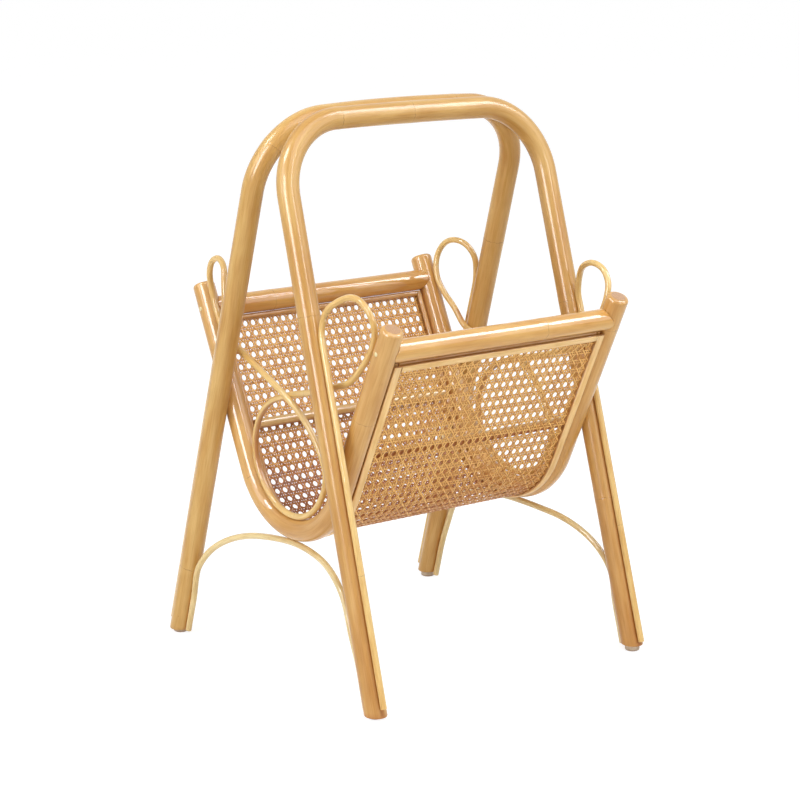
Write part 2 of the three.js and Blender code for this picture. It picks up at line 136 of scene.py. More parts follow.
def sheet_point(x, distance, offset):
    """A point of the webbing, by its distance from the front top edge along the inner face."""
    front = arm_point(x, -1, NET_DROP + distance, offset)
    rear = arm_point(x, 1, NET_DROP + NET_LENGTH - distance, offset)
    bend = bottom_point(x, LEAN - pi + (distance - NET_STRAIGHT) / NET_RADIUS, offset)
    on_front = (distance < NET_STRAIGHT)[..., None]
    on_rear = (distance > NET_STRAIGHT + NET_ARC)[..., None]
    return np.where(on_front, front, np.where(on_rear, rear, bend))


def filleted(corners, radius, steps=40):
    """A line through the corners, each rounded by the radius."""
    corners = [np.asarray(c, float) for c in corners]
    points = [corners[0]]
    for before, corner, after in zip(corners, corners[1:], corners[2:]):
        back, ahead = unit(before - corner), unit(after - corner)
        opening = math.acos(float(back @ ahead))
        start = corner + back * radius / math.tan(opening / 2)
        centre = corner + unit(back + ahead) * radius / math.sin(opening / 2)
        for turn in np.linspace(0, pi - opening, steps + 1):
            points.append(centre + (start - centre) * math.cos(turn) - back * radius * math.sin(turn))
    return np.array(points + [corners[-1]])


def curve_through(points, per_span=24):
    """Centripetal Catmull-Rom curve, as the solids' cores follow it."""
    p = np.asarray(points, float)
    p = np.vstack([2 * p[0] - p[1], p, 2 * p[-1] - p[-2]])
    t = np.linspace(0, 1, per_span, endpoint=False)[:, None]
    out = []
    for a, b, c, d in zip(p, p[1:], p[2:], p[3:]):
        u, v, w = (norm(q - r) ** 0.5 for q, r in ((a, b), (b, c), (c, d)))
        m = ((b - a) / u - (c - a) / (u + v) + (c - b) / v) * v
        n = ((c - b) / v - (d - b) / (v + w) + (d - c) / w) * v
        out.append(b + m * t + (3 * (c - b) - 2 * m - n) * t**2 + (2 * (b - c) + m + n) * t**3)
    return np.vstack(out + [p[-2:-1]])


def lengths(points):
    """Length along a path at each of its points."""
    return np.append(0, np.cumsum(norm(np.diff(points, axis=0), axis=1)))


def points_at(points, stations):
    at = lengths(points)
    return np.stack([np.interp(stations, at, points[:, i]) for i in range(3)], 1)


def smoothed(points, reach):
    """A dense path evened out, with its ends kept and a point each millimetre."""
    p = points_at(points, np.arange(0, lengths(points)[-1], 1.0))
    window = np.hanning(2 * reach + 1)
    window /= window.sum()
    padded = np.vstack([2 * p[0] - p[reach:0:-1], p, 2 * p[-1] - p[-2 : -reach - 2 : -1]])
    return np.stack([np.convolve(padded[:, i], window, "valid") for i in range(3)], 1)


def densified(points, step):
    total = lengths(points)[-1]
    return points_at(points, np.linspace(0, total, max(2, round(total / step)) + 1))


# Meshes

UV = "OFBake"
# Shares of the bake map that a tube's sides, a row of them and an end take up
UV_SIDE = 0.94
UV_ROW = 0.96
UV_END = 0.42


def faces_inward(vertices, quads, tris):
    """Whether the volume that the faces enclose comes out negative."""
    corners = np.vstack([quads[:, :3], quads[:, [0, 2, 3]], tris])
    a, b, c = (vertices[corners[:, k]] for k in range(3))
    return (a * np.cross(b, c)).sum() < 0


def make_mesh(name, vertices, quads, tris, uv_quads, uv_tris, attributes, end_slot=1, flat_ends=True):
    """A mesh piece from arrays, with vertices in millimetres. The triangles are its ends."""
    if faces_inward(vertices, quads, tris):
        quads, tris, uv_quads, uv_tris = (rows[:, ::-1] for rows in (quads, tris, uv_quads, uv_tris))
    counts = len(quads), len(tris)
    mesh = bpy.data.meshes.new(name)
    mesh.vertices.add(len(vertices))
    mesh.vertices.foreach_set("co", (vertices * MM).astype(np.float32).ravel())
    loops = np.append(quads, tris).astype(np.int32)
    mesh.loops.add(len(loops))
    mesh.loops.foreach_set("vertex_index", loops)
    starts = np.cumsum([0, *np.repeat([4, 3], counts)[:-1]])
    mesh.polygons.add(sum(counts))
    mesh.polygons.foreach_set("loop_start", starts.astype(np.int32))
    mesh.polygons.foreach_set("material_index", np.repeat([0, end_slot], counts).astype(np.int32))
    mesh.update(calc_edges=True)
    mesh.polygons.foreach_set("use_smooth", np.repeat([True, not flat_ends], counts))
    layer = mesh.uv_layers.new(name=UV)
    layer.data.foreach_set("uv", np.append(uv_quads, uv_tris).astype(np.float32))
    for key, values in attributes.items():
        kind, field = ("FLOAT_VECTOR", "vector") if values.ndim == 2 else ("FLOAT", "value")
        attribute = mesh.attributes.new(key, kind, "POINT")
        attribute.data.foreach_set(field, values.astype(np.float32).ravel())
    mesh.validate()
    piece = bpy.data.objects.new(name, mesh)
    scene.collection.objects.link(piece)
    return piece


def tube_faces(rows, sides):
    """Quads between a tube's rings, and triangles from its end rings to its two tips."""
    i, k = np.indices((rows - 1, sides))
    n = (k + 1) % sides
    quads = np.stack([i * sides + k, i * sides + n, (i + 1) * sides + n, (i + 1) * sides + k], -1)
    k, top, tip = np.arange(sides), (rows - 1) * sides, np.full(sides, rows * sides)
    n = (k + 1) % sides
    tris = np.vstack([np.stack([tip, n, k], -1), np.stack([tip + 1, top + k, top + n], -1)])
    return quads.reshape(-1, 4), tris


def tube_map(rows, sides, bands, outline):
    """A tube's bake map: its sides cut into rows, and its ends beside them."""
    i, k = np.indices((rows - 1, sides))
    per_band = math.ceil((rows - 1) / bands)
    band, local = i // per_band, i % per_band
    u0, u1 = local / per_band * UV_SIDE, (local + 1) / per_band * UV_SIDE
    v0 = (band + (1 - UV_ROW) / 2 + UV_ROW * k / sides) / bands
    v1 = v0 + UV_ROW / sides / bands
    uv_quads = np.stack([u0, v0, u0, v1, u1, v1, u1, v0], -1).reshape(-1, 4, 2)
    rim = outline * (1 - UV_SIDE) * UV_END
    turned = np.roll(rim, -1, 0)
    uv_tris = []
    for level, a, b in ((0.25, turned, rim), (0.75, rim, turned)):
        middle = np.array([(1 + UV_SIDE) / 2, level])
        uv_tris.append(np.stack([middle + 0 * rim, middle + a, middle + b], 1))
    return uv_quads, np.vstack(uv_tris)


def tube(name, rings, tips, section, s, bands, outline, attributes, flat_ends=True):
    """A piece from its rings and tips. Its grain unrolls it: (across, across, along)."""
    rows, sides = rings.shape[:2]
    along = np.broadcast_to(s[:, None, None], (rows, sides, 1))
    section = np.broadcast_to(section, (rows, sides, 2))
    grain = np.dstack([section, along]).reshape(-1, 3)
    grain = np.vstack([grain, [0, 0, s[0]], [0, 0, s[-1]]]) * MM
    return make_mesh(
        name, np.vstack([rings.reshape(-1, 3), *tips]), *tube_faces(rows, sides),
        *tube_map(rows, sides, bands, outline), {"grain": grain, **attributes}, flat_ends=flat_ends,
    )


def frames(points):
    """Tangents, normals and binormals along a path, with no twist."""
    steps = np.diff(points, axis=0)
    steps /= norm(steps, axis=1)[:, None]
    tangents = np.vstack([steps[:1], steps[:-1] + steps[1:], steps[-1:]])
    tangents /= norm(tangents, axis=1)[:, None]
    lies_along_x = abs(tangents[0][0]) >= math.sqrt(0.5)
    reference = np.eye(3)[int(lies_along_x)]
    normal = reference - tangents[0] * (reference @ tangents[0])
    normals = []
    for tangent in tangents:
        normal = unit(normal - tangent * (normal @ tangent))
        normals.append(normal)
    normals = np.array(normals)
    return tangents, normals, np.cross(tangents, normals)


# Where a cane has rings beside each of its joints
KNUCKLE_AT = np.array([-9, -5, -3, -2, -1.3, -0.7, -0.3, 0, 0.3, 0.7, 1.3, 2, 3, 5, 9])
FAR_FROM_JOINTS = 1e3
RING_GAP = 0.12
WOBBLE_WAVES = (310.0, 170.0, 90.0)
GRAIN_SHIFT = 5000


def knuckle_rise(away, size):
    """How much a sanded joint swells the cane: a soft rise with a fine groove."""
    rise = np.exp(-((away / 6.0) ** 2)) + 0.3 * np.exp(-(((away - 0.9) / 0.7) ** 2))
    return size * (rise - 0.45 * np.exp(-(((away + 0.4) / 0.45) ** 2)))


def ring_stations(total, step, knuckles, edge):
    """Places of a rod's rings: even, closer at its joints, and along its rounded ends."""
    wanted = [np.linspace(0, total, max(2, round(total / step)) + 1)]
    wanted += [k + KNUCKLE_AT for k in knuckles]
    if edge:
        curl = edge * (1 - np.cos(np.linspace(0, pi / 2, 9)))
        ends = np.append(curl, total - curl)
        wanted.append(ends)
    wanted = np.unique(np.hstack(wanted).clip(0, total))
    if edge:
        on_curl = np.abs(wanted[:, None] - ends[None]).min(1) < 1e-6
        wanted = wanted[on_curl | ((wanted > edge) & (wanted < total - edge))]
    keep = np.append(True, np.diff(wanted) > RING_GAP)
    keep[-1] = True
    return wanted[keep]


def rod(
    name, points, radius, sides, step, knuckles=(), swell=0.16, edge=0.0, seed=0, wobble=0.0,
    shape_ends=None, dome=0.0, shade=None, tint=(0.0, 0.0),
):
    """A cane pole or core along a path."""
    own = np.random.default_rng(seed)
    total = lengths(points)[-1]
    s = ring_stations(total, step, knuckles, edge)
    centre = points_at(points, s)
    tangent, normal, binormal = frames(centre)
    r = np.full(len(s), float(radius))
    away = np.full(len(s), FAR_FROM_JOINTS)
    for k in knuckles:
        d = s - k
        nearer = np.abs(d) < np.abs(away)
        away[nearer] = d[nearer]
        r += knuckle_rise(d, swell)
    if wobble:
        phase = own.uniform(0, 2 * pi, len(WOBBLE_WAVES))
        for k, wave in enumerate(WOBBLE_WAVES):
            r += wobble * 0.4 * np.sin(2 * pi * s / wave + phase[k]) / (k + 1)
    if edge:
        from_end = np.minimum(s, total - s).clip(0, edge)
        r += np.sqrt(np.maximum(0, edge**2 - (edge - from_end) ** 2)) - edge
    angle = np.linspace(0, 2 * pi, sides, endpoint=False)
    circle = np.stack([np.cos(angle), np.sin(angle)], -1)
    spokes = circle[:, :1] * normal[:, None] + circle[:, 1:] * binormal[:, None]
    rings = centre[:, None] + spokes * r[:, None, None]
    if shape_ends is not None:
        rings = shape_ends(rings)
    tips = rings[0].mean(0) - dome * tangent[0], rings[-1].mean(0) + dome * tangent[-1]
    # Painted shade, in grooves and gaps, where the shade function gives it
    painted_shade = np.zeros(len(s) * sides)
    if shade is not None:
        painted_shade[:] = shade(rings.reshape(-1, 3), spokes.reshape(-1, 3))
    browner = np.interp(s / total, np.linspace(0, 1, len(tint)), tint)
    bands = max(1, round(math.sqrt(total / (2 * pi * radius))))
    return tube(
        name, rings, tips, circle * r[:, None, None], s + own.uniform(0, GRAIN_SHIFT), bands, circle,
        {
            "joint": np.append(np.repeat(away, sides), [FAR_FROM_JOINTS] * 2) * MM,
            "painted_shade": np.append(painted_shade, [0, 0]),
            "tint": np.append(np.repeat(browner, sides), [tint[0], tint[-1]]),
        },
        flat_ends=dome == 0,
    )


# Materials

COAT_IOR = 1.4
CANE_SPECULAR = 0.1
# Reach of a joint's pale halo and of its dark line, and the line's sway, in metres
JOINT_HALO = 0.009
JOINT_LINE = 0.0007
JOINT_SWAY = 0.004
# What full values of the attribute tint, and of the attribute for painted shade in grooves, seams and gaps,
# do to the colour
BROWNER = (0.84, 0.68, 0.58)
PAINTED_SHADE_TONE = (0.4, 0.11, 0.028)
WHITE = (1, 1, 1)
# Half a strand's width, and the height of the painted shade at a glide's sole, in metres
STRAND_EDGE_AT = 0.00105
GLIDE_SHADE_HEIGHT = 0.003


def nodes_of(name):
    material = bpy.data.materials.new(name)
    material.use_nodes = True
    tree = material.node_tree
    return material, tree, tree.nodes["Principled BSDF"]


def fill(tree, node, inputs):
    """Links a node's inputs to sockets, or gives them values."""
    for key, value in inputs.items():
        socket = node.inputs[key]
        if isinstance(value, bpy.types.NodeSocket):
            tree.links.new(value, socket)
        else:
            socket.default_value = (*value, 1) if socket.type == "RGBA" else value


def node_with(tree, kind, inputs, **settings):
    node = tree.nodes.new("ShaderNode" + kind)
    for key, value in settings.items():
        setattr(node, key, value)
    fill(tree, node, inputs)
    return node


def attribute(tree, name, output="Fac"):
    return node_with(tree, "Attribute", {}, attribute_name=name).outputs[output]


def object_place(tree):
    return node_with(tree, "TexCoord", {}).outputs["Object"]


def parts_of(tree, vector):
    return node_with(tree, "SeparateXYZ", {0: vector}).outputs


def ramp(tree, source, stops):
    """Colours along a value. The first two stops take the ramp's own two elements."""
    node = node_with(tree, "ValToRGB", {0: source})
    elements = node.color_ramp.elements
    for k, (place, colour) in enumerate(stops):
        element = elements[k] if k < 2 else elements.new(place)
        element.position = place
        element.color = (*colour, 1)
    return node.outputs["Color"]


def mix(tree, factor, a, b, mode="MIX"):
    inputs = {0: factor, 6: a, 7: b}
    return node_with(tree, "Mix", inputs, data_type="RGBA", blend_type=mode).outputs[2]


def math_node(tree, operation, a, b=0.0, clamp=False):
    return node_with(tree, "Math", {0: a, 1: b}, operation=operation, use_clamp=clamp).outputs[0]


def scaled(tree, value, factor, offset=0.0):
    product = math_node(tree, "MULTIPLY", value, factor)
    return math_node(tree, "ADD", product, offset) if offset else product


def above(tree, value, floor, slope):
    """How far the value is above the floor, times the slope, kept within 0 and 1."""
    return math_node(tree, "MULTIPLY", math_node(tree, "SUBTRACT", value, floor), slope, True)


def fading(tree, distance, reach):
    """1 at no distance, down to 0 at the reach."""
    return math_node(tree, "SUBTRACT", 1.0, math_node(tree, "DIVIDE", distance, reach), True)


def toned(tree, share, colour, source, stops):
    """The colour multiplied by a ramp of tones along a value."""
    return mix(tree, share, colour, ramp(tree, source, stops), "MULTIPLY")


def noise(tree, vector, scale, stretch=(1, 1, 1), detail=3.0, roughness=0.55, distortion=0.0):
    mapping = node_with(tree, "Mapping", {"Vector": vector, "Scale": [scale * s for s in stretch]})
    return node_with(tree, "TexNoise", {
        "Vector": mapping.outputs[0], "Scale": 1.0, "Detail": detail, "Roughness": roughness,
        "Distortion": distortion,
    }).outputs["Fac"]


def lacquer(weight, roughness):
    return {
        "Coat Weight": weight, "Coat Roughness": roughness, "Coat IOR": COAT_IOR,
        "Specular IOR Level": CANE_SPECULAR,
    }


def fibre_bump(tree, fibre, strength, distance):
    inputs = {"Height": fibre, "Strength": strength, "Distance": distance}
    return node_with(tree, "Bump", inputs).outputs[0]


def cane(name, light, middle, dark, joint_tone, coat=1.0, roughness=0.38, scale=1.0, sheen=0.05):
    """Lacquered cane: fine fibres, slow changes of tone, a thin broken line at its joints."""
    material, tree, shader = nodes_of(name)
    grain = attribute(tree, "grain", "Vector")
    joint = attribute(tree, "joint")
    slow = noise(tree, grain, 70 * scale, (1, 1, 0.14), 3.0)
    colour = ramp(tree, slow, [(0.34, dark), (0.68, light), (0.5, middle)])
    fibre = noise(tree, grain, 1000 * scale, (1, 1, 0.03), 4.0, 0.6)
    streaks = [(0.3, (0.86, 0.8, 0.72)), (0.7, (1.05, 1.05, 1.05)), (0.5, WHITE)]
    colour = toned(tree, 0.7, colour, fibre, streaks)
    band = noise(tree, grain, 260 * scale, (1, 1, 0.05), 2.0)
    colour = toned(tree, 0.7, colour, band, [(0.36, (0.92, 0.86, 0.78)), (0.6, WHITE)])
    fleck = noise(tree, grain, 520 * scale, (1, 1, 0.3), 2.0, 0.5, 0.5)
    colour = toned(tree, 0.5, colour, fleck, [(0.0, WHITE), (0.84, (0.6, 0.42, 0.26)), (0.72, WHITE)])
    halo = fading(tree, math_node(tree, "ABSOLUTE", joint), JOINT_HALO)
    colour = mix(tree, scaled(tree, halo, 0.22), colour, light)
    sway = scaled(tree, math_node(tree, "SUBTRACT", band, 0.5), JOINT_SWAY)
    line = math_node(tree, "ABSOLUTE", math_node(tree, "SUBTRACT", joint, sway))
    shown = above(tree, noise(tree, grain, 120 * scale, (1, 1, 0.4), 2.0), 0.46, 6.0)
    ring = math_node(tree, "MULTIPLY", fading(tree, line, JOINT_LINE), scaled(tree, shown, 0.55, 0.18))
    colour = mix(tree, ring, colour, joint_tone)
    colour = mix(tree, attribute(tree, "tint"), colour, BROWNER, "MULTIPLY")
    # Painted shade in grooves and gaps, from its attribute
    colour = mix(tree, scaled(tree, attribute(tree, "painted_shade"), 0.92), colour, PAINTED_SHADE_TONE)
    gloss = noise(tree, grain, 140 * scale, (1, 1, 0.25), 3.0)
    fill(tree, shader, {
        "Base Color": colour, "Roughness": scaled(tree, gloss, 0.16, roughness - 0.08),
        "Normal": fibre_bump(tree, fibre, 0.25, 0.00003), **lacquer(coat, sheen),
    })
    return material


def end_grain(name, light, dark):
    """A sawn end of cane, full of pores."""
    material, tree, shader = nodes_of(name)
    grain = attribute(tree, "grain", "Vector")
    pores = noise(tree, grain, 1500, (1, 1, 0), 2.0)
    colour = ramp(tree, pores, [(0.36, dark), (0.56, light)])
    slow = noise(tree, grain, 130, (1, 1, 0), 2.0)
    colour = toned(tree, 0.6, colour, slow, [(0.3, (0.86, 0.8, 0.72)), (0.7, WHITE)])
    fill(tree, shader, {"Base Color": colour, "Roughness": 0.4, "Coat Weight": 0.9, "Coat Roughness": 0.08})
    return material


def split_cane(name, skin, dark, deep, edge_tone, coat):
    """Strands of the webbing, each with its own tone, and darker edges: painted shade between the strands,
    with some staining.
    """
    material, tree, shader = nodes_of(name)
    grain = attribute(tree, "grain", "Vector")
    slow = noise(tree, grain, 90, (1, 1, 0.3), 2.0)
    own = scaled(tree, attribute(tree, "tone"), 0.6)
    tone = math_node(tree, "ADD", own, scaled(tree, slow, 0.4))
    colour = ramp(tree, tone, [(0.0, deep), (0.6, skin), (0.2, dark)])
    fibre = noise(tree, grain, 2600, (1, 0.4, 0.03), 3.0)
    colour = toned(tree, 0.8, colour, fibre, [(0.3, (0.78, 0.7, 0.6)), (0.62, (1.04, 1.03, 1.02))])
    from_middle = math_node(tree, "ABSOLUTE", parts_of(tree, grain)[0])
    across = math_node(tree, "DIVIDE", from_middle, STRAND_EDGE_AT)
    # Darker edges: painted shade where the strands meet, with some staining
    edge = scaled(tree, above(tree, across, 0.5, 2.2), 0.75)
    fill(tree, shader, {
        "Base Color": mix(tree, edge, colour, edge_tone), "Roughness": scaled(tree, slow, 0.2, 0.3),
        "Normal": fibre_bump(tree, fibre, 0.3, 0.00006), **lacquer(coat, 0.12),
    })
    return material


def plastic(name, colour, deep, sole_shade):
    """Cloudy plastic, with painted shade at its sole."""
    material, tree, shader = nodes_of(name)
    place = object_place(tree)
    clouded = ramp(tree, noise(tree, place, 220), [(0.35, deep), (0.65, colour)])
    # Painted shade at the sole
    sole = fading(tree, parts_of(tree, place)[2], GLIDE_SHADE_HEIGHT)
    fine = noise(tree, place, 1800, detail=2.0)
    fill(tree, shader, {
        "Base Color": mix(tree, sole, clouded, sole_shade), "Roughness": scaled(tree, fine, 0.2, 0.3),
        "Subsurface Weight": 0.35, "Subsurface Radius": (0.004, 0.0035, 0.003),
    })
    return material


def steel(name, bright, dull):
    """Steel brushed one way."""
    material, tree, shader = nodes_of(name)
    brushed = noise(tree, object_place(tree), 1500, (1, 0.1, 1), 3.0)
    colour = ramp(tree, brushed, [(0.3, dull), (0.7, bright)])
    fill(tree, shader, {"Base Color": colour, "Roughness": scaled(tree, brushed, 0.25, 0.2), "Metallic": 1.0})
    return material


pole_finish = cane(
    "hoop_cane", (0.715, 0.465, 0.165), (0.65, 0.39, 0.12), (0.575, 0.315, 0.084), (0.24, 0.1, 0.03),
    coat=0.65, sheen=0.18,
)
frame_finish = cane(
    "end_frame_cane", (0.77, 0.485, 0.175), (0.7, 0.41, 0.13), (0.62, 0.335, 0.09), (0.24, 0.1, 0.03)
)
rail_finish = cane(
    "rail_cane", (0.78, 0.48, 0.15), (0.72, 0.4, 0.108), (0.64, 0.325, 0.074), (0.24, 0.1, 0.03)
)
core_finish = cane(
    "scroll_core", (0.85, 0.61, 0.245), (0.79, 0.53, 0.19), (0.71, 0.43, 0.13), (0.26, 0.11, 0.04), scale=2.0
)
arch_finish = cane(
    "arch_core", (0.86, 0.7, 0.37), (0.82, 0.63, 0.3), (0.75, 0.53, 0.22), (0.36, 0.18, 0.07), scale=2.0
)
bead_finish = cane(
    "amber_bead", (0.74, 0.44, 0.16), (0.65, 0.35, 0.11), (0.54, 0.26, 0.075), (0.28, 0.12, 0.04), scale=2.0
)
batten_finish = cane(
    "batten_core", (0.8, 0.58, 0.27), (0.73, 0.49, 0.2), (0.64, 0.39, 0.14), (0.3, 0.14, 0.05), scale=2.0
)
strip_finish = cane(
    "pale_strip", (0.97, 0.7, 0.35), (0.91, 0.62, 0.275), (0.83, 0.53, 0.205), (0.4, 0.22, 0.09),
    coat=0.5, roughness=0.42, scale=2.0,
)
filler_finish = cane(
    "pale_filler", (0.86, 0.78, 0.46), (0.8, 0.7, 0.38), (0.7, 0.58, 0.28), (0.4, 0.22, 0.09), scale=4.0
)
end_finish = end_grain("sawn_end", (0.62, 0.34, 0.14), (0.34, 0.15, 0.05))
skin_finish = split_cane(
    "webbing_cane", (0.98, 0.61, 0.2), (0.58, 0.25, 0.06), (0.3, 0.11, 0.032), (0.4, 0.12, 0.025), 0.25
)
glide_finish = plastic("glide_plastic", (0.66, 0.54, 0.4), (0.55, 0.43, 0.3), (0.26, 0.13, 0.06))
steel_finish = steel("screw_steel", (0.62, 0.6, 0.57), (0.42, 0.4, 0.37))


def finish(piece, slot_name, materials, *nodes):
    """Gives a piece its materials and body, and hides the solids that it replaces; its slot name is not used.
    """
    for material in materials:
        piece.data.materials.append(material)
    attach(piece, "root")
    if nodes:
        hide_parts(*nodes)


def across_trough(half, side, drop, offset=0.0):
    return np.vstack([arm_point(x, side, drop, offset) for x in (-half, half)])


# Poles

ENDS = ((0, "left", -1), (1, "right", 1))
SIDES = ((0, "front", -1), (1, "rear", 1))
POLE_SIDES = 48

# Each hoop as it was bent: its corners' half widths and levels, its bends, its crown, the levels that its
# feet reach down to, how brown it is along its length, and its joints
HOOP_SHAPES = {
    "front": (
        (190.1, 187.5), (644.0, 642.3), 83.0, 2.7, (2.5, 7.3), (0.7, 0.0, 0.85), [450, 717, 820, 1219, 1460]
    ),
    "rear": (
        (190.2, 190.2), (641.3, 641.3), 81.0, 6.8, (4.0, 7.3), (0.1, 0.0, 0.35), [89, 640, 905, 1160, 1480]
    ),
}
FOOT_CUT = 14.0
# Painted shade in the grooves beside the cores, up to where they leave the legs, and at the soles
CORE_SEAM = 0.45
CORE_SEAM_COSINES = (0.955, 0.99)
SCROLL_SEAM_TOP = 400
ARCH_SEAM_TOP = 60
SOLE_SHADE = 0.7
SOLE_LEVELS = (6.0, 2.5)
# Painted shade in the two grooves beside a bead, by the angle round the pole from the bead, in degrees
POLE_SEAM = 0.6
INNER_GROOVE = (-14, -8)
BEAD_GROOVE = (-34, -26)
RAIL_GROOVE = (-24, -14)


def groove(value, first, full):
    """0 up to the first value, rising to 1 at the full one."""
    return ((value - first) / (full - first)).clip(0, 1)


def level_feet(rings):
    """Shears a hoop's end rings along the pole, because the feet are sawn level."""
    centres = rings.mean(1)
    for end in (0, -1):
        down = unit(centres[end] - centres[2 if end == 0 else -3])
        share = (1 - norm(centres - centres[end], axis=1) / FOOT_CUT).clip(0, 1)
        drop = (centres[:, None, 2] - rings[..., 2]) / down[2]
        rings = rings + (share[:, None] * drop)[..., None] * down
    return rings


def hoop(side, name, seed):
    widths, levels, bend, crown, feet, tint, joints = HOOP_SHAPES[name]
    corners = [np.array([end * x, side * BAR_Y, z]) for end, x, z in zip((-1, 1), widths, levels)]
    on_floor = [leg_point(end, side, 0) for end in (-1, 1)]
    low = [lerp(a, b, foot / b[2]) for a, b, foot in zip(on_floor, corners, feet)]
    path = densified(filleted([low[0], *corners, low[1]], bend), 3)
    path[:, 2] += crown * np.maximum(0, 1 - (path[:, 0] / CORNER_X) ** 2)

    # Painted shade beside the cores and at the soles
    def seams(places, spokes):
        out = spokes @ leg_outward(side)
        level = places[:, 2]
        scroll = CORE_SEAM * groove(out, *CORE_SEAM_COSINES) * (level < SCROLL_SEAM_TOP)
        arch = CORE_SEAM * groove(-out, *CORE_SEAM_COSINES) * (level < ARCH_SEAM_TOP)
        return np.maximum(np.maximum(scroll, arch), SOLE_SHADE * groove(level, *SOLE_LEVELS))

    piece = rod(
        name, path, HOOP_R, POLE_SIDES, 6, joints, edge=1.5, seed=seed, wobble=0.1, shape_ends=level_feet,
        shade=seams, tint=tint,
    )
    finish(piece, "hoop_pole", [pole_finish, end_finish], f"{name}_hoop")


for k, name, side in SIDES:
    hoop(side, name, 20 + k)


def outward_at(places):
    """Direction away from the trough's inside at each place of its outline."""
    angle = np.arctan2(places[:, 2] - BEND_LEVEL, places[:, 1] + FORWARD)
    on_front = (angle > pi / 2) | (angle < LEAN - pi)
    angle = np.where(on_front, LEAN - pi, np.minimum(angle, -LEAN))
    return np.stack([0 * angle, np.cos(angle), np.sin(angle)], -1)


def turn_from(places, spokes, toward):
    """Angle round a pole from the given direction to the trough's outside, in degrees."""
    out = (spokes * outward_at(places)).sum(1)
    return np.degrees(np.arctan2(out, (spokes * toward).sum(1)))


# Painted shade in an end frame's grooves beside its bead, below the rail
def frame_seams(end):
    def shade(places, spokes):
        turn = turn_from(places, spokes, np.array([-end, 0, 0]))
        below_rail = places[:, 2] < ARM_TOP - (RAIL_DROP + 8) * math.cos(LEAN)
        return POLE_SEAM * groove(turn, *INNER_GROOVE) * groove(-turn, *BEAD_GROOVE) * below_rail
    return shade


FRAME_KNUCKLES = {"left": [243, 560], "right": [120, 400, 640]}
for k, name, end in ENDS:
    path = profile(end * FRAME_X, 0, 0)
    piece = rod(
        f"{name}_frame_pole", path, FRAME_R, POLE_SIDES, 6, FRAME_KNUCKLES[name], edge=4.5,
        seed=30 + k, wobble=0.08, dome=0.8, shade=frame_seams(end), tint=(0.2, 0.3),
    )
    finish(piece, "frame_pole", [frame_finish, end_finish], f"{name}_end_frame")

# How far a rail's second ring stays back from its end
COPE_STEP = 1.5


def coped(rings):
    """Shapes a rail's end rings to sit round the arms."""
    centre = rings.mean(1)
    across = np.array([0, math.cos(LEAN), -math.sin(LEAN)])
    for ring in (0, 1, -2, -1):
        side = 1 if centre[ring][1] > 0 else -1
        w = (rings[ring] - centre[ring]) @ (across * [1, side, 1])
        reach = FRAME_X - np.sqrt((FRAME_R + GAP) ** 2 - w**2)
        end = 1 if centre[ring][0] > 0 else -1
        rings[ring][:, 0] = end * (reach - (0 if ring in (0, -1) else COPE_STEP))
    return rings


# Painted shade in a rail's grooves beside its bead
def rail_seams(places, spokes):
    side = np.sign(places[:, 1])
    down_slope = np.stack([0 * side, -side * math.sin(LEAN), -math.cos(LEAN) + 0 * side], -1)
    turn = turn_from(places, spokes, down_slope)
    return POLE_SEAM * groove(turn, *INNER_GROOVE) * groove(-turn, *RAIL_GROOVE)


RAIL_KNUCKLES = {"front": [212], "rear": [75]}
RAIL_TINTS = {"front": (0.1, 0.1), "rear": (0.3, 0.3)}
for k, name, side in SIDES:
    path = across_trough(FRAME_X - FRAME_R, side, RAIL_DROP)
    piece = rod(
        f"{name}_rail_pole", path, RAIL_R, POLE_SIDES, 8, RAIL_KNUCKLES[name], seed=40 + k,
        wobble=0.06, shape_ends=coped, shade=rail_seams, tint=RAIL_TINTS[name],
    )
    finish(piece, "rail_pole", [rail_finish, end_finish], f"{name}_top_rail")

PLUG_R = 2.6
PLUG_SIDES = 20
PLUG_RINGS = 6
PLUG_PROUD = 0.7


def plug(name, centre, axis):
    """A small domed plug of filler over a screw."""
    axis = np.asarray(axis, float)
    across = unit(np.cross(axis, [0.0, math.cos(LEAN), math.sin(LEAN)]))
    up = np.cross(axis, across)
    turn = np.linspace(0, 2 * pi, PLUG_SIDES, endpoint=False)
    spokes = PLUG_R * (np.cos(turn)[:, None] * across + np.sin(turn)[:, None] * up)
    rings = [centre - axis + spokes]
    for rise in np.linspace(0, pi / 2, PLUG_RINGS, endpoint=False):
        rings.append(centre + axis * PLUG_PROUD * math.sin(rise) + spokes * math.cos(rise))
    vertices = np.vstack([*rings, centre - axis, centre + axis * PLUG_PROUD])
    quads, tris = tube_faces(len(rings), PLUG_SIDES)
    flat = vertices @ np.stack([across, up], -1)
    flat = 0.5 + (flat - flat.mean(0)) / (2.4 * PLUG_R)
    plain = np.ones(len(vertices))
    attributes = {"grain": (vertices - centre) * MM, "joint": plain, "painted_shade": 0 * plain, "tint": 0 * plain}
    piece = make_mesh(
        name, vertices, quads, tris, flat[quads], flat[tris], attributes, end_slot=0, flat_ends=False
    )
    finish(piece, "frame_pole", [filler_finish])


for _, side_name, side in SIDES:
    for _, end_name, end in ENDS:
        place = arm_point(end * (FRAME_X + FRAME_R - 0.1), side, RAIL_DROP)
        plug(f"{side_name}_{end_name}_plug", place, [end, 0, 0])

# Beads, battens and strips round the webbing

for k, name, end in ENDS:
    path = profile(end * BEAD_X, RAIL_DROP + RAIL_R + 2 * GAP, BEAD_OFFSET)
    piece = rod(f"{name}_edge_cane", path, BEAD_R, 16, 5, [150, 400], 0.06, 0.8, 50 + k)
    finish(piece, "bead", [bead_finish, end_finish], f"{name}_edge_bead")

BEAD_END = BEAD_X - BEAD_R - GAP
BATTEN_LOWER = {"front": 0, "rear": 2}
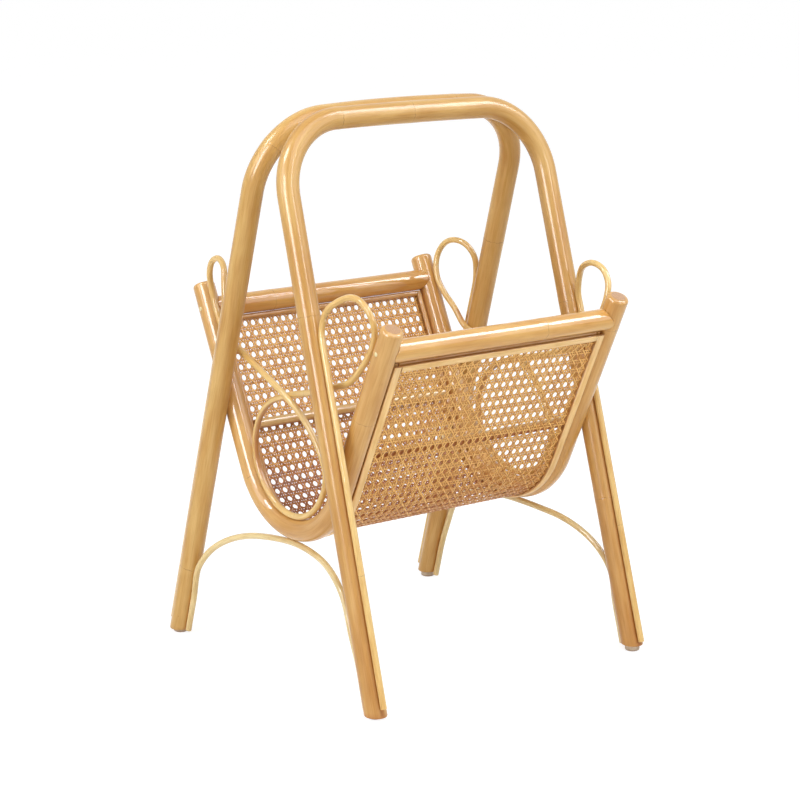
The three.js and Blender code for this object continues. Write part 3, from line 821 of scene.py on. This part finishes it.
# How far down the slope a batten's painted shade faces
BATTEN_SHADE_TURN = {"front": 0.2, "rear": 1.1}


def batten_shade(name, side):
    """A batten is darker where it faces the webbing: painted shade."""
    toward = np.array([0, side * math.cos(LEAN), -math.sin(LEAN)])
    toward += BATTEN_SHADE_TURN[name] * np.array([0, -side * math.sin(LEAN), -math.cos(LEAN)])
    return lambda places, spokes: groove(spokes @ unit(toward), 0.1, 0.6)


for k, name, side in SIDES:
    path = across_trough(BEAD_END, side, RAIL_BEAD_DROP, BEAD_OFFSET)
    piece = rod(f"{name}_rail_cane", path, BEAD_R, 16, 6, [130], 0.06, 0.8, 60 + k)
    finish(piece, "bead", [bead_finish, end_finish], f"{name}_rail_bead")
    drop = BATTEN_DROP + BATTEN_LOWER[name]
    path = across_trough(BEAD_END, side, drop, CANE_IN - GAP - BATTEN_R)
    piece = rod(
        f"{name}_batten_cane", path, BATTEN_R, 32, 6, [95 + 70 * k], 0.1, 1, 70 + k,
        shade=batten_shade(name, side),
    )
    finish(piece, "bead", [batten_finish, end_finish], f"{name}_batten")

# A strip's crown, as a share of its thickness, its arc in radians, its rows and the painted shade on its
# sides
STRIP_CROWN = 0.38
STRIP_ARC = 1.25
STRIP_ROWS = 40
STRIP_BANDS = 8
STRIP_SIDE_SHADE = 0.5
# The rear rail's strip lies higher, clear of the last row of holes
STRIP_RAISE = {-1: 0.5, 1: 3.6}
EDGE_STRIP_WIDTH = 9.9
RAIL_STRIP_X = STRIP_X - STRIP_WIDTH - GAP


def strip(name, stations_at, seed, full_width):
    """A flat cane with a crowned face, run along stations of the trough."""
    width, thick = full_width / 2, STRIP_THICKNESS
    crown = [
        (width * math.sin(t), thick * (1 - STRIP_CROWN + STRIP_CROWN * math.cos(t)))
        for t in np.linspace(-STRIP_ARC, STRIP_ARC, 9)
    ]
    section = np.array([(-width, 0), (-width, thick / 2), *crown, (width, thick / 2), (width, 0)])
    rings = np.stack([stations_at(across, STRIP_IN + height) for across, height in section], 1)
    if len(rings) == 2:
        rings = np.stack([lerp(rings[0], rings[1], t) for t in np.linspace(0, 1, STRIP_ROWS)])
    rows = len(rings)
    s = lengths(rings.mean(1)) + np.random.default_rng(seed).uniform(0, GRAIN_SHIFT)
    outline = (section - section.mean(0)) / (STRIP_WIDTH * 0.6)
    # Painted shade on the strip's sides, in the gaps beside them
    side_shade = (np.abs(section[:, 0]) > 0.97 * width) * STRIP_SIDE_SHADE
    return tube(
        name, rings, (rings[0].mean(0), rings[-1].mean(0)), section, s, STRIP_BANDS, outline,
        {
            "joint": np.ones(rings[..., 0].size + 2),
            "painted_shade": np.append(np.tile(side_shade, rows), [STRIP_SIDE_SHADE] * 2),
        },
    )


def rail_strip(side):
    """Stations of a rail's strip."""
    def at(across, offset):
        drop = STRIP_DROP - STRIP_RAISE[side] - across
        return np.vstack([arm_point(e * RAIL_STRIP_X, side, drop, offset) for e in (-side, side)])
    return at


def edge_strip(end):
    """Stations of an edge's strip, up to the top edges of the rails' strips."""
    x = end * (STRIP_X - STRIP_WIDTH + EDGE_STRIP_WIDTH / 2)
    drop = STRIP_DROP - STRIP_WIDTH / 2

    def at(across, offset):
        path = profile(x - across, drop - STRIP_RAISE[1], offset)
        path[-1] = arm_point(x - across, -1, drop - STRIP_RAISE[-1], offset)
        return path
    return at


for k, name, side in SIDES:
    piece = strip(f"{name}_rail_band", rail_strip(side), 80 + k, STRIP_WIDTH)
    finish(piece, "strip", [strip_finish, end_finish], f"{name}_rail_strip")
for k, name, end in ENDS:
    piece = strip(f"{name}_edge_band", edge_strip(end), 84 + k, EDGE_STRIP_WIDTH)
    finish(piece, "strip", [strip_finish, end_finish], f"{name}_edge_strip")

# Cane webbing: pairs of strands both ways, locked by two diagonals

PITCH_X = 11.2
PAIR = 1.6
ROW_PAIR = 1.9
STRAND = 2.45
DIAGONAL = 2.5
STRAND_THICK = 0.5
STRAND_BEVEL = (0.45, 0.4)
WAVE = 0.3
DIAGONAL_WAVE = 0.56
SHEET_MIDDLE = CANE_IN + CANE_THICKNESS / 2

# Where the rows of the weave lie along the sheet; they close up a little round the bottom
ROW_COUNTS = [-1.5, 13.7, 31.97, 47.5]
ROW_DISTANCES = [-14.3, NET_STRAIGHT, NET_STRAIGHT + NET_ARC, NET_LENGTH + 18.3]
ROW_PITCH = 13.07
# Counts that the strands are laid for, and how far they stray, in millimetres
COLUMN_RANGE = (-15, 15)
ROW_RANGE = (-1, 48)
DIAGONAL_COUNTS = np.arange(-16, 16, 1 / 8)
DIAGONAL_STARTS = np.arange(-20.5, 70)
WANDER = 0.07
# How far the pairs stay within the sheet's border, and the diagonals
PAIR_MARGIN = 1.1
DIAGONAL_MARGIN = 0.3
# The weave's shift and skew on the front side and on the rear one
SHIFT = (-0.5, -5.2)
SKEW = (0.034, 0.006)
# Where a strand starts to rise before a crossing, and the point that it has before that
RISE_AT = 3.6
POINT_AT = 3.9
# Painted shadow: strands are darker near the bottom, more so on their inner faces
SHADOW_REACH = 120
INNER_SHADOW = 1.25
OUTER_SHADOW = 0.4
TONES = (0.2, 0.9)


def lay(u, v):
    """Turns counts of the weave, which has a pair of strands at each whole one, into millimetres."""
    d = np.interp(v, ROW_COUNTS, ROW_DISTANCES)
    drift = (d / NET_LENGTH).clip(0, 1)
    drift = drift * drift * (3 - 2 * drift)
    x = PITCH_X * (u + 0.5) + lerp(*SHIFT, drift)
    return x, d + x * lerp(*SKEW, drift)


def bundle(name, strands, width, fewest):
    """Ribbons laid in the flat sheet as (x, distance, height) rows, bent onto the trough."""
    strands = [rows for rows in strands if len(rows) >= fewest]
    tones = rng.uniform(*TONES, len(strands))
    half, t = width / 2, STRAND_THICK / 2
    over, under = half - STRAND_BEVEL[0], half - STRAND_BEVEL[1]
    section = np.array([(-half, 0), (-over, t), (over, t), (half, 0), (under, -t), (-under, -t)])
    sides = len(section)
    fan = np.array([(0, a, a + 1) for a in range(1, sides - 1)])
    vertices, quads, tris, uv_quads, uv_tris, grain, tone = ([] for _ in range(7))
    base = 0
    for number, flat in enumerate(strands):
        rows = len(flat)
        along = np.gradient(flat[:, :2], axis=0)
        along /= norm(along, axis=1)[:, None]
        across = np.stack([-along[:, 1], along[:, 0]], -1)
        x = flat[:, None, 0] + across[:, None, 0] * section[:, 0]
        d = flat[:, None, 1] + across[:, None, 1] * section[:, 0]
        h = SHEET_MIDDLE + flat[:, None, 2] + section[:, 1]
        vertices.append(sheet_point(x, d, h).reshape(-1, 3))
        s = lengths(flat[:, :2]) + rng.uniform(0, GRAIN_SHIFT)
        grain.append(np.column_stack([np.tile(section, (rows, 1)), np.repeat(s, sides)]))
        near_bottom = np.exp(-(((flat[:, 1] - NET_LENGTH / 2) / SHADOW_REACH) ** 2))
        shadow = np.where(section[:, 1] < 0, INNER_SHADOW, OUTER_SHADOW)
        tone.append((tones[number] - near_bottom[:, None] * shadow).ravel())
        i, k = np.indices((rows - 1, sides))
        n = (k + 1) % sides
        here = base + i * sides
        quads.append(np.stack([here + k, here + sides + k, here + sides + n, here + n], -1).reshape(-1, 4))
        tris += [base + fan, base + (rows - 1) * sides + fan[:, ::-1]]
        # Each strand has a line of the bake map, with its ends as small marks beside it
        u0, u1 = 0.01 + 0.98 * i / (rows - 1), 0.01 + 0.98 * (i + 1) / (rows - 1)
        v0 = (number + 0.04 + 0.92 * k / sides) / len(strands)
        v1 = v0 + 0.92 / sides / len(strands)
        uv_quads.append(np.stack([u0, v0, u1, v0, u1, v1, u0, v1], -1).reshape(-1, 4, 2))
        v = (number + 0.5) / len(strands)
        for u in (0.002, 0.998):
            mark = np.array([[u - 0.001, v], [u + 0.001, v], [u, v + 0.004]])
            uv_tris.append(np.broadcast_to(mark, (len(fan), 3, 2)))
        base += rows * sides
    piece = make_mesh(
        name, *(np.vstack(rows) for rows in (vertices, quads, tris, uv_quads, uv_tris)),
        {"grain": np.vstack(grain) * MM, "tone": np.hstack(tone)}, end_slot=0,
    )
    finish(piece, "cane", [skin_finish], "cane_webbing")


def pair_wave(count, pitch, sign, pair):
    """Height of a strand where it passes the pairs that it crosses."""
    local = ((count + 0.5) % 1 - 0.5) * pitch
    places = [-pitch / 2, -RISE_AT, -pair, pair, RISE_AT, pitch / 2]
    return np.interp(local, places, [0, 0, -sign * WAVE, sign * WAVE, 0, 0])


def stops(first, last, pitch, pair):
    """Counts where a strand has a point: at each crossing's edges and middle, and between."""
    local = np.array([-POINT_AT, -pair, 0, pair, POINT_AT, pitch / 2]) / pitch
    return np.sort((np.arange(first, last)[:, None] + local).ravel())


def laid(u, v, height, margin):
    """Rows of a strand that lie inside the sheet's border."""
    x, d = lay(u, v)
    rows = np.stack([x + rng.normal(0, WANDER), d + rng.normal(0, WANDER), height], -1)
    inside = (np.abs(x) < NET_HALF_X - margin) & (d > margin) & (d < NET_LENGTH - margin)
    return rows[inside]


uprights, crossings, diagonals = [], [], {}
for sign in (-1, 1):
    v = stops(*ROW_RANGE, ROW_PITCH, ROW_PAIR)
    for column in range(*COLUMN_RANGE):
        u = np.full(len(v), column + sign * PAIR / PITCH_X)
        uprights.append(laid(u, v, pair_wave(v, ROW_PITCH, -sign, ROW_PAIR), PAIR_MARGIN))
    u = stops(*COLUMN_RANGE, PITCH_X, PAIR)
    for row in range(*ROW_RANGE):
        v = np.full(len(u), row + sign * ROW_PAIR / ROW_PITCH)
        crossings.append(laid(u, v, pair_wave(u, PITCH_X, sign, PAIR), PAIR_MARGIN))

# A diagonal is v = turn * u + c in counts; it passes midway between the pairs' crossings
for turn in (1, -1):
    height = -turn * DIAGONAL_WAVE * np.cos(2 * pi * DIAGONAL_COUNTS)
    diagonals[turn] = [
        laid(DIAGONAL_COUNTS, turn * DIAGONAL_COUNTS + c, height, DIAGONAL_MARGIN) for c in DIAGONAL_STARTS
    ]

bundle("webbing_uprights", uprights, STRAND, 2)
bundle("webbing_crossings", crossings, STRAND, 2)
bundle("webbing_diagonals_up", diagonals[1], DIAGONAL, 4)
bundle("webbing_diagonals_down", diagonals[-1], DIAGONAL, 4)

# Scrolls and foot arches

STRAND_STEP = HOOP_R + CORE_R + GAP
PASS_LEVEL = {-1: 356.0, 1: 370.0}
LEG_PASS_X = leg_point(1, 1, max(PASS_LEVEL.values()))[0] - STRAND_STEP
LOOP_X = FRAME_X + CORE_R + GAP
LOOP_SEAT = math.sqrt((FRAME_R + CORE_R + GAP) ** 2 - (LOOP_X - FRAME_X) ** 2)
LOOP_BOTTOM = FRAME_BOTTOM + LOOP_SEAT
LOOP_CLEARANCE = 9.5
LOOP_HALF = FRAME_BEND - FRAME_R - CORE_R - LOOP_CLEARANCE
STRAND_CROSS = 327.0
UPPER_TOP = 459.7
UPPER_START = 405.0
UPPER_CLEARANCE = 12.4
UPPER_REACH = ARM_TOP_Y - (ARM_TOP - UPPER_START) * math.tan(LEAN) - UPPER_CLEARANCE
LEAD = 30.0
CORE_FOOT = GLIDE_HEIGHT + 2
ARCH_SPRING = 57.0
ARCH_SEAT_ANGLE = math.radians(6)
# How much lower a scroll passes a leg than its solid does, and how much higher its upper loops rise
PASS_DIP = {(1, 1): 16.0}
LOOP_LIFT = {(-1, -1): -3.5, (1, -1): -1.0, (-1, 1): 5.0, (1, 1): -5.5}

# Each loop's points, as shares of its reach, its rise and its depth
UPPER_SHARES = [
    (-0.041, 0.248, 0.056), (0.035, 0.735, 0.218), (0.258, 1.029, 0.653), (0.551, 1.159, 0.85),
    (0.824, 1.054, 0.89), (0.997, 0.761, 1.027), (1.019, 0.433, 1.224), (0.92, 0.026, 1.331),
]
# The rear right loop is fuller on its leg's side: other shares in place of its first ones
FULLER_SHARES = {
    (1, 1): [
        (-0.041, 0.248, 0.056), (-0.045, 0.735, 0.218), (0.158, 1.08, 0.55), (0.48, 1.17, 0.78),
        (0.795, 1.054, 0.89),
    ]
}
RETURN_SHARES = [(0.695, 0.4, 1.26), (0.375, 0.816, 1.116)]
LOWER_SHARES = [
    (-0.567, 1.101, 0.737), (0.048, 1.023, 0.045), (0.595, 0.915, 0.061), (0.928, 0.737, 0.073),
    (1.038, 0.509, 0.087), (0.933, 0.297, 0.104), (0.524, 0.079, 0.121), (0.04, 0.001, 0.141),
    (-0.451, 0.05, 0.155), (-0.819, 0.22, 0.138), (-0.952, 0.432, 0.103), (-0.784, 0.655, 0.394),
    (-0.396, 0.882, 0.964), (0.036, 1.026, 1.391), (0.479, 1.121, 1.231), (1.046, 1.226, 0.8),
]
ARCH_SHARES = [
    (0.932, 0.351, 1.078), (0.88, 0.502, 0.993), (0.794, 0.663, 0.823), (0.664, 0.804, 0.61),
    (0.495, 0.911, 0.364), (0.295, 0.968, 0.132),
]


def strand(end, side, level, turn=1):
    """A point of a core that stands along a leg's outer side, or its inner one."""
    return leg_point(end, side, level) + leg_outward(side) * STRAND_STEP * turn


def placed(end, shares, x, y, z):
    """Points from shares of the way between two values of each coordinate."""
    return [[end * lerp(*x, depth), lerp(*y, reach), lerp(*z, rise)] for reach, rise, depth in shares]


def upper_loop(end, side):
    start = strand(end, side, UPPER_START)
    x = abs(start[0]), LEG_PASS_X
    y = start[1], side * UPPER_REACH - FORWARD
    low = PASS_LEVEL[side]
    top = UPPER_TOP + LOOP_LIFT[end, side]
    fuller = FULLER_SHARES.get((end, side), [])
    rising = placed(end, [*fuller, *UPPER_SHARES[len(fuller):]], x, y, (start[2], top))
    returning = placed(end, RETURN_SHARES, x, y, (start[2], low))
    pass_level = low - PASS_DIP.get((end, side), 0.0)
    passing = [end * LEG_PASS_X, leg_point(end, side, pass_level)[1], pass_level]
    return [start, *rising, *returning, passing]


def scroll_path(end):
    y = -FORWARD, LOOP_HALF - FORWARD
    lower = placed(end, LOWER_SHARES, (LOOP_X, LEG_PASS_X), y, (LOOP_BOTTOM, STRAND_CROSS))
    lower[-1][2] -= PASS_DIP.get((end, 1), 0.0) / 2
    lead = UPPER_START - LEAD
    front = [strand(end, -1, lead), *upper_loop(end, -1)]
    rear = [*upper_loop(end, 1)[::-1], strand(end, 1, lead)]
    curve = curve_through([*front, *lower, *rear])
    return np.vstack([strand(end, -1, CORE_FOOT), curve, strand(end, 1, CORE_FOOT)])


def arch_path(end):
    seat = FRAME_R + CORE_R + GAP
    top_x = FRAME_X + seat * math.sin(ARCH_SEAT_ANGLE)
    top_z = FRAME_BOTTOM - seat * math.cos(ARCH_SEAT_ANGLE)

    def half(side):
        spring = strand(end, side, ARCH_SPRING, -1)
        x, y, z = (top_x, abs(spring[0])), (-FORWARD, spring[1]), (spring[2], top_z)
        return [strand(end, side, ARCH_SPRING - LEAD, -1), spring, *placed(end, ARCH_SHARES, x, y, z)]

    curve = curve_through([*half(-1), [end * top_x, -FORWARD, top_z], *half(1)[::-1]])
    return np.vstack([strand(end, -1, CORE_FOOT, -1), curve, strand(end, 1, CORE_FOOT, -1)])


def leg_side(places, spokes):
    """Painted shade where a scroll's straight ends face the leg they are nailed to."""
    outward = np.where(places[:, 1:2] < 0, leg_outward(-1), leg_outward(1))
    return LEG_SHADE * groove(-(spokes * outward).sum(1), 0.3, 0.6) * (places[:, 2] < UPPER_START - LEAD)


LEG_SHADE = 0.7
CORE_SIDES = 20
SMOOTHING = 8
# A scroll's joints: the first and last places, the step and how far each one strays
JOINTS_FROM = 160
JOINTS_STOP = 60
JOINT_STEP = 275
JOINT_STRAY = 40
for k, name, end in ENDS:
    path = smoothed(scroll_path(end), SMOOTHING)
    own = np.random.default_rng(90 + k)
    marks = np.arange(JOINTS_FROM, lengths(path)[-1] - JOINTS_STOP, JOINT_STEP)
    marks += own.uniform(-JOINT_STRAY, JOINT_STRAY, len(marks)).astype(int)
    piece = rod(
        f"{name}_scroll_core", path, CORE_R, CORE_SIDES, 4, marks, 0.05, 0.8, 92 + k, shade=leg_side
    )
    finish(piece, "core", [core_finish, end_finish], f"{name}_scroll")
    path = smoothed(arch_path(end), SMOOTHING)
    marks = [170 + 30 * k, 420]
    piece = rod(f"{name}_arch_core", path, CORE_R, CORE_SIDES, 4, marks, 0.05, 0.8, 96 + k)
    finish(piece, "core", [arch_finish, end_finish], f"{name}_foot_arch")

# Glides and screws keep their solids, with better materials

kept_finishes = {"glide": glide_finish, "screw": steel_finish}
for name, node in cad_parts.items():
    material = kept_finishes.get(name.rsplit("_", 1)[-1])
    if material:
        for slot in node.material_slots:
            slot.material = material
        for polygon in node.data.polygons:
            polygon.use_smooth = False

# Floor, light and camera

FLOOR_SIZE = 400
FLOOR_COLOUR = (0.9, 0.9, 0.9)
# How far the floor shows as bright paper, the paper's strength, and the world's plain light
PAPER_SHARE = 0.65
PAPER_STRENGTH = 1.32
AMBIENT = 0.42
TROUGH_MIDDLE = (0, 0, 0.33)
CARD_COLOUR = (0.88, 0.92, 1.0)

bpy.ops.mesh.primitive_plane_add(size=FLOOR_SIZE)
floor = bpy.context.object
floor.name = "floor"


def seen_rays(tree):
    """1 for the rays that show the background: the camera's own, off gloss or through glass."""
    rays = node_with(tree, "LightPath", {}).outputs
    seen = math_node(tree, "MAXIMUM", rays["Is Camera Ray"], rays["Is Glossy Ray"])
    return math_node(tree, "MAXIMUM", seen, rays["Is Transmission Ray"])


floor_material, floor_tree, floor_shader = nodes_of("paper_floor")
fill(floor_tree, floor_shader, {"Base Color": FLOOR_COLOUR, "Roughness": 0.9, "Specular IOR Level": 0.1})
glow = node_with(floor_tree, "Emission", {"Color": WHITE, "Strength": PAPER_STRENGTH})
share = scaled(floor_tree, seen_rays(floor_tree), PAPER_SHARE)
blend = node_with(floor_tree, "MixShader", {0: share, 1: floor_shader.outputs[0], 2: glow.outputs[0]})
fill(floor_tree, floor_tree.nodes["Material Output"], {"Surface": blend.outputs[0]})
floor.data.materials.append(floor_material)

world = bpy.data.worlds.new("studio")
scene.world = world
world.use_nodes = True
world_tree = world.node_tree
strength = scaled(world_tree, seen_rays(world_tree), 1 - AMBIENT, AMBIENT)
fill(world_tree, world_tree.nodes["Background"], {"Color": WHITE, "Strength": strength})


def aim(holder, place, direction):
    holder.location = place
    holder.rotation_euler = Vector(direction).to_track_quat("-Z", "Y").to_euler()
    scene.collection.objects.link(holder)


# Soft boxes, each with its place, size and power; the cards are only seen as highlights
LAMPS = [
    ("left_card", (-2.48, -0.77, 1.25), (0.9, 1.6), 105),
    ("front_card", (0.16, -2.9, 1.9), (0.5, 1.5), 44),
    ("top_card", (1.75, -1.25, 2.5), (0.8, 1.8), 92),
    ("high_card", (-1.55, 0.5, 2.3), (0.7, 0.7), 44),
    ("left_wash", (-2.5, 0.5, 1.5), (1.2, 1.6), 29),
    ("right_card", (1.6, -2.0, 1.35), (1.4, 1.6), 22),
    ("front_wash", (-0.2, -2.8, 1.1), (2.0, 1.6), 7),
    ("top_wash", (-0.2, -1.4, 3.0), (2.0, 2.0), 62),
]
for name, place, size, power in LAMPS:
    light = bpy.data.lights.new(name, "AREA")
    light.shape, light.size, light.size_y, light.energy = "RECTANGLE", *size, power
    holder = bpy.data.objects.new(name, light)
    aim(holder, place, Vector(TROUGH_MIDDLE) - Vector(place))
    if name.endswith("card"):
        light.color = CARD_COLOUR
        holder.visible_diffuse = False

# The camera as fitted to the photograph, which is 800 pixels wide
FOCAL_PIXELS = 2460.68
PICTURE_PIXELS = 800
SENSOR = 36
CAMERA_PLACE = (-1.76523, -2.26602, 0.94128)
CAMERA_AIM = (0.59855, 0.77094, -0.21772)

camera_data = bpy.data.cameras.new("camera")
camera_data.sensor_width = SENSOR
camera_data.lens = FOCAL_PIXELS / PICTURE_PIXELS * SENSOR
camera = bpy.data.objects.new("camera", camera_data)
aim(camera, CAMERA_PLACE, CAMERA_AIM)
scene.camera = camera
scene.view_settings.view_transform = "Standard"
